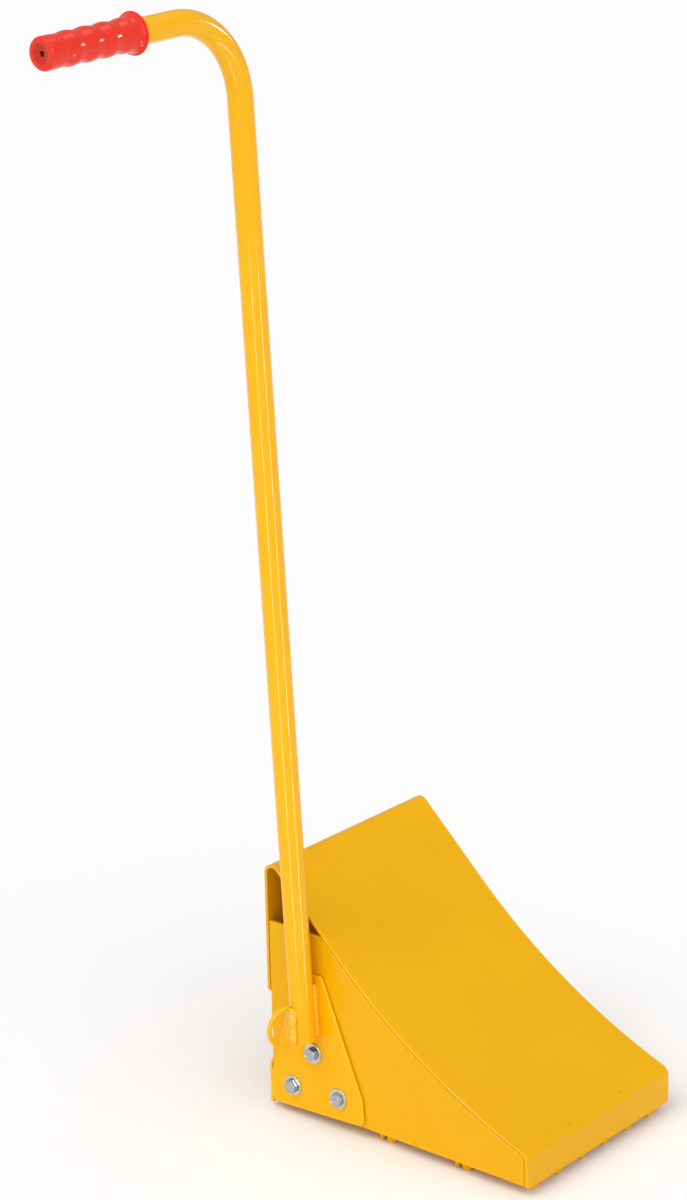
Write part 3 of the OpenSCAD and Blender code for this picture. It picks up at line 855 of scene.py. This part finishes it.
def handle_welds():
    """Beads from tube to bracket and from tube to chain ring."""
    m = handle_matrix()
    z0, z1 = TUBE_FOOT + 1.5 * MM, TUBE_FOOT + 59.5 * MM
    for k, (label, way) in enumerate((("front", 1), ("rear", -1))):
        x, y = way * 7.6 * MM, bracket_lo.y - 2.0 * MM
        path = [Vector((x, y, z0)), Vector((x, y, z1))]
        out = Vector((way * 0.75, -0.66, 0)).normalized()
        bead(f"pipe_weld_{label}", f"tube_weld_{label}", path, [out, out], half_w=3.9 * MM,
             height=2.6 * MM, seed=11 + k, pitch=2.9 * MM, sunk=0.9, lumps=0.24, world=m, coat=yellow_weld)
    m = ring_matrix()
    for k, (label, way) in enumerate((("front", -1), ("rear", 1))):
        x = TUBE_R + 2.2 * MM
        path = [Vector((x, -20 * MM, way * 2.9 * MM)), Vector((x, 20 * MM, way * 2.9 * MM))]
        out = Vector((0.62, 0, way * 0.78)).normalized()
        bead(f"eye_weld_{label}", f"ring_weld_{label}", path, [out, out], half_w=4.3 * MM,
             height=2.9 * MM, seed=21 + k, pitch=3.4 * MM, sunk=0.9, lumps=0.42, world=m, coat=yellow_weld)


def inner_welds():
    """Stitch welds inside the shell."""
    corner = 1.3 * MM
    half_w, height = 2.7 * MM, 1.5 * MM

    def stitch(name, node, start, end, out, seed):
        out = Vector(out).normalized()
        bead(name, node, [Vector(start), Vector(end)], [out, out], half_w, height, seed)

    for side, way in (("handle_side", 1), ("far_side", -1)):
        to_mid = -way * math.copysign(1, side_hi.y)
        y = way * side_hi.y + to_mid * corner
        # three arcs of 4 degrees under the tyre face, 8 degrees apart
        for i in range(3):
            a0 = 270 - TOP_SLOPE + 2 + i * 8
            pts, outs = [], []
            for k in range(9):
                a = math.radians(a0 + 4 * k / 8)
                r = FACE_RADIUS + SHEET + corner
                pts.append(shell_point((FACE_C[0] + r * math.cos(a), FACE_C[1] + r * math.sin(a)), y))
                outs.append(Vector((math.cos(a), to_mid, math.sin(a))).normalized())
            bead(f"{side}_ramp_bead_{i + 1}", f"{side}_ramp_weld_{i + 1}", pts, outs, half_w, height, 40 + i)
        for i in range(2):
            x = HEEL_X + (40 + i * 170) * MM
            z = base_hi.z + corner
            stitch(f"{side}_base_bead_{i + 1}", f"{side}_base_weld_{i + 1}", (x, y, z), (x + 50 * MM, y, z),
                   (0, to_mid, 1), 50 + i)
        for label, z0, z1 in (("flange", 130, 180), ("heel", 8, 36)):
            x = HEEL_X + SHEET + corner
            stitch(f"{side}_{label}_bead", f"{side}_{label}_weld", (x, y, LIP_Z + z0 * MM),
                   (x, y, LIP_Z + z1 * MM), (1, to_mid, 0), 60 + z0)
    for label, x, way in (("toe", ramp_hi.x - SHEET, -1), ("heel", HEEL_X + SHEET, 1)):
        x, z = x + way * corner, base_hi.z + corner
        stitch(f"base_{label}_bead", f"base_{label}_weld", (x, -80 * MM, z), (x, 80 * MM, z),
               (way, 0, 1), 70 + way)


# ---------------------------------------------------------------- fasteners
FLATS = 12.7 * MM
BOLT_R = 3.95 * MM
HEAD_H = 5.4 * MM
NUT_H = 6.7 * MM
WASHER_T = 1.6 * MM
WASHER_R = 11.1 * MM
WASHER_HOLE_R = 4.75 * MM
HEAD_FACE_R = 0.475 * FLATS
HEAD_TURN = {"upper": 0.61, "rear": 0.245, "front": 0.84}
THREAD_PITCH = 1.41 * MM


def hex_r(a, turn):
    """Radius of the hexagon at an angle."""
    a = (a - turn) % (TAU / 6)
    return FLATS / 2 / math.cos(a - TAU / 12)


def hex_rings(place, z0, z1, bevel_low, bevel_high, turn, n=96):
    """Rings of a hex prism with a bevelled face at either end."""
    face = HEAD_FACE_R
    slope = math.tan(math.radians(30))

    def ring(height, radius):
        return [place @ Vector((radius(a) * math.cos(a), radius(a) * math.sin(a), height(a)))
                for a in (TAU * i / n for i in range(n))]

    def cut(a):
        return max(0.0, hex_r(a, turn) - face) * slope

    rings = []
    if bevel_low:
        rings.append(ring(lambda a: z0, lambda a: face))
    rings.append(ring(lambda a: z0 + (cut(a) if bevel_low else 0), lambda a: hex_r(a, turn)))
    rings.append(ring(lambda a: z1 - (cut(a) if bevel_high else 0), lambda a: hex_r(a, turn)))
    if bevel_high:
        rings.append(ring(lambda a: z1, lambda a: face))
    return rings


def bolt_matrix(label):
    """Matrix of a bolt: z runs out of the bracket along the bolt's axis."""
    x, z = BOLTS[label]
    return handle_matrix() @ Matrix.Translation((x, 0, z)) @ Matrix.Rotation(math.pi / 2, 4, "X")


def washer(bm, place, z):
    """A flat washer with soft edges, its inner side at height z."""
    e, hole, outer, top = 0.3 * MM, WASHER_HOLE_R, WASHER_R, z + WASHER_T
    prof = [(hole + e * 0.5, z), (outer - e, z), (outer - e * 0.3, z + e * 0.3), (outer, z + e),
            (outer, top - e), (outer - e * 0.3, top - e * 0.3), (outer - e, top), (hole + e * 0.5, top),
            (hole, top - e * 0.5), (hole, z + e * 0.5)]
    skin(bm, turned(place, prof, 72), close=True)


def fasteners():
    """Bolts, washers on both sides of the joint, and lock nuts inside."""
    head_z = -(bracket_lo.y - WASHER_T)
    inner_z = -side_hi.y
    nut_z = inner_z - WASHER_T
    end_z = nut_z - NUT_H - 2 * MM
    for label in BOLTS:
        m = bolt_matrix(label)
        turn = HEAD_TURN[label]
        bm = bmesh.new()
        # head with a washer face under it and a slightly hollow top
        rings = turned(m, [(HEAD_FACE_R, head_z)], 96)
        rings += hex_rings(m, head_z + 0.35 * MM, head_z + HEAD_H, False, True, turn)
        rings += turned(m, [(HEAD_FACE_R * share, head_z + HEAD_H + dz * MM)
                            for share, dz in ((0.93, -0.02), (0.9, -0.14), (0.3, -0.18), (0.05, -0.18))], 96)
        skin(bm, rings)
        # shank with a rolled thread on its inner end
        n = 48
        thread_from = inner_z + 0.5 * MM
        rings = turned(m, [(BOLT_R, head_z + 0.1 * MM), (BOLT_R, thread_from + 0.3 * MM)], n)
        z = thread_from
        dz = THREAD_PITCH / 8
        while z > end_z + 0.9 * MM:
            ring = []
            for i in range(n):
                phase = ((z / THREAD_PITCH) + i / n) % 1.0
                depth = 0.62 * MM * (abs(phase - 0.5) * 2) ** 1.1
                r = BOLT_R - depth * smooth((thread_from - z) / (1 * MM))
                ring.append(m @ Vector((r * math.cos(TAU * i / n), r * math.sin(TAU * i / n), z)))
            rings.append(ring)
            z -= dz
        rings += turned(m, [(3.3 * MM, end_z + 0.5 * MM), (2.9 * MM, end_z)], n)
        skin(bm, rings)
        piece(f"{label}_hex_bolt", bm, [zinc_blue], [f"{label}_bolt"], sharp=28)
        bm = bmesh.new()
        washer(bm, m, head_z - WASHER_T)
        piece(f"{label}_washer_out", bm, [zinc_plate], [f"{label}_outer_washer"], sharp=50)
        bm = bmesh.new()
        washer(bm, m, inner_z - WASHER_T)
        piece(f"{label}_washer_in", bm, [zinc_plate], [f"{label}_inner_washer"], sharp=50)
        # lock nut: hex body, round collar and the nylon ring inside it
        bm = bmesh.new()
        flip = m @ Matrix.Translation((0, 0, nut_z)) @ Matrix.Rotation(math.pi, 4, "X")
        bore = BOLT_R + 0.05 * MM
        body = NUT_H - 1.5 * MM
        n = 96
        rings = hex_rings(flip, 0, body, True, True, turn + 0.4, n)
        rings += turned(flip, [(5.75 * MM, body - 0.05 * MM), (5.7 * MM, NUT_H - 0.6 * MM),
                               (5.45 * MM, NUT_H - 0.15 * MM), (5.1 * MM, NUT_H),
                               (4.8 * MM, NUT_H - 0.2 * MM), (bore, NUT_H - 0.9 * MM), (bore, 0.2 * MM)], n)
        skin(bm, rings, close=True)
        ring_prof = [(4.85, 5.4), (4.85, 6.3), (4.6, 6.45), (4.15, 6.4), (4.02, 6.2), (4.02, 5.4)]
        rings = turned(flip, [(r * MM, h * MM) for r, h in ring_prof], n)
        skin(bm, rings, close=True, mat=1)
        piece(f"{label}_nut", bm, [zinc_plate, insert], [f"{label}_lock_nut"], sharp=28)


# ---------------------------------------------------------------- build
bent_sheet()
side_plates()
heel()
bracket()
base_plate()
handle()
grip()
chain_ring()
handle_welds()
inner_welds()
fasteners()


# ---------------------------------------------------------------- stage, light and camera
def stage():
    """The floor."""
    bm = bmesh.new()
    half = 30.0
    for x, y in ((-half, -half), (half, -half), (half, half), (-half, half)):
        bm.verts.new((x, y, 0))
    bm.faces.new(bm.verts)
    me = bpy.data.meshes.new("floor")
    bm.to_mesh(me)
    bm.free()
    me.materials.append(pale_floor("pale_floor"))
    floor = bpy.data.objects.new("floor", me)
    bpy.context.scene.collection.objects.link(floor)


def gleam(name, place, target, size, radiance):
    """A lamp seen only in gloss: it draws a gleam and throws no light on matt surfaces."""
    light = bpy.data.lights.new(name, "AREA")
    light.shape = "RECTANGLE"
    light.size, light.size_y = size
    light.energy = radiance * math.pi * size[0] * size[1]
    ob = bpy.data.objects.new(name, light)
    ob.location = place
    ob.rotation_euler = (Vector(target) - Vector(place)).to_track_quat("-Z", "Y").to_euler()
    ob.visible_diffuse = False
    ob.visible_camera = False
    bpy.context.scene.collection.objects.link(ob)


LINE_AWAY = 0.42
LINE_WIDE = 0.03
LINE_TALL = 0.84


def gleam_line(name, turn, radiance):
    """An upright line lamp beside the handle, so that the tube shows a thin even line."""
    a = math.radians(turn)
    foot = handle_point(0, TUBE_Y, 0)
    place = foot + Vector((math.cos(a), math.sin(a), 0)) * LINE_AWAY
    place.z = 0.01 + LINE_TALL / 2
    foot.z = place.z
    gleam(name, place, foot, (LINE_WIDE, LINE_TALL), radiance)


def sun(name, place, strength, angle):
    """A far, wide softbox: parallel light from a direction, soft over an angle in degrees."""
    light = bpy.data.lights.new(name, "SUN")
    light.energy = strength
    light.angle = math.radians(angle)
    ob = bpy.data.objects.new(name, light)
    ob.rotation_euler = (-Vector(place)).to_track_quat("-Z", "Y").to_euler()
    bpy.context.scene.collection.objects.link(ob)


# direction in which the room is brightest
ROOM_FRONT = (0.35, -0.85, 0.40)


def lights():
    """A pale room brighter in front, two wide suns, and the lamps that act on gloss only."""
    world = bpy.data.worlds.new("studio")
    bpy.context.scene.world = world
    world.use_nodes = True
    tree = world.node_tree
    way = add(tree, "ShaderNodeTexCoord").outputs["Generated"]
    facing = add(tree, "ShaderNodeVectorMath", p_operation="DOT_PRODUCT", i0=way,
                 i1=ROOM_FRONT).outputs["Value"]
    tree.links.new(ramp(tree, facing, -0.6, 0.8, 0.44, 0.97), tree.nodes["Background"].inputs["Strength"])
    tree.nodes["Background"].inputs["Color"].default_value = (1, 1, 1, 1)
    sun("key", (-0.5, -1.5, 2.4), 0.80, 35)
    sun("fill", (2.6, -1.0, 0.7), 0.66, 60)
    # the gloss lamps stand where the tube, the grip, the bend and the body mirror them to the camera
    gleam_line("gleam_left", -67, 20)
    gleam_line("gleam_right", 6, 27)
    hand = handle_point(0, TUBE_Y - TUBE_BEND - 0.1, TUBE_STRAIGHT + TUBE_BEND)
    gleam("gleam_spot", hand + Vector((0.46, 1.02, 0.17)), hand, (0.05, 0.05), 120)
    bend = handle_point(TUBE_R, TUBE_Y - 0.02, TUBE_STRAIGHT + 0.06)
    gleam("gleam_bend", bend + Vector((0.45, 0.88, 0.17)), bend, (0.34, 0.10), 17)
    gleam("gleam_top", hand + Vector((0.06, 0.43, 0.79)), hand, (0.42, 0.30), 2)
    gleam("gleam_front", (1.05, -1.83, 1.60), (-0.11, -0.17, 0.13), (0.34, 0.34), 16)


CAMERA_AT = (1.88473, -2.4014, 1.54808)
CAMERA_AZIMUTH = 40.37
CAMERA_ELEVATION = 17.963
CAMERA_ROLL = -1.221
CAMERA_LENS = 97.143


def camera():
    """The camera, placed by the direction it looks back along and its roll."""
    az, el, roll = (math.radians(a) for a in (CAMERA_AZIMUTH, CAMERA_ELEVATION, CAMERA_ROLL))
    back = Vector((math.sin(az) * math.cos(el), -math.cos(az) * math.cos(el), math.sin(el)))
    right0 = (-back).cross(Vector((0, 0, 1))).normalized()
    up0 = right0.cross(-back)
    right = right0 * math.cos(roll) + up0 * math.sin(roll)
    up = up0 * math.cos(roll) - right0 * math.sin(roll)
    cam = bpy.data.cameras.new("camera")
    cam.lens = CAMERA_LENS
    cam.sensor_width = 36
    cam.clip_end = 200
    ob = bpy.data.objects.new("camera", cam)
    m = Matrix((right, up, back)).transposed().to_4x4()
    m.translation = Vector(CAMERA_AT)
    ob.matrix_world = m
    bpy.context.scene.collection.objects.link(ob)
    bpy.context.scene.camera = ob


stage()
lights()
camera()
bpy.context.scene.view_settings.view_transform = "Standard"
bpy.context.scene.view_settings.look = "None"
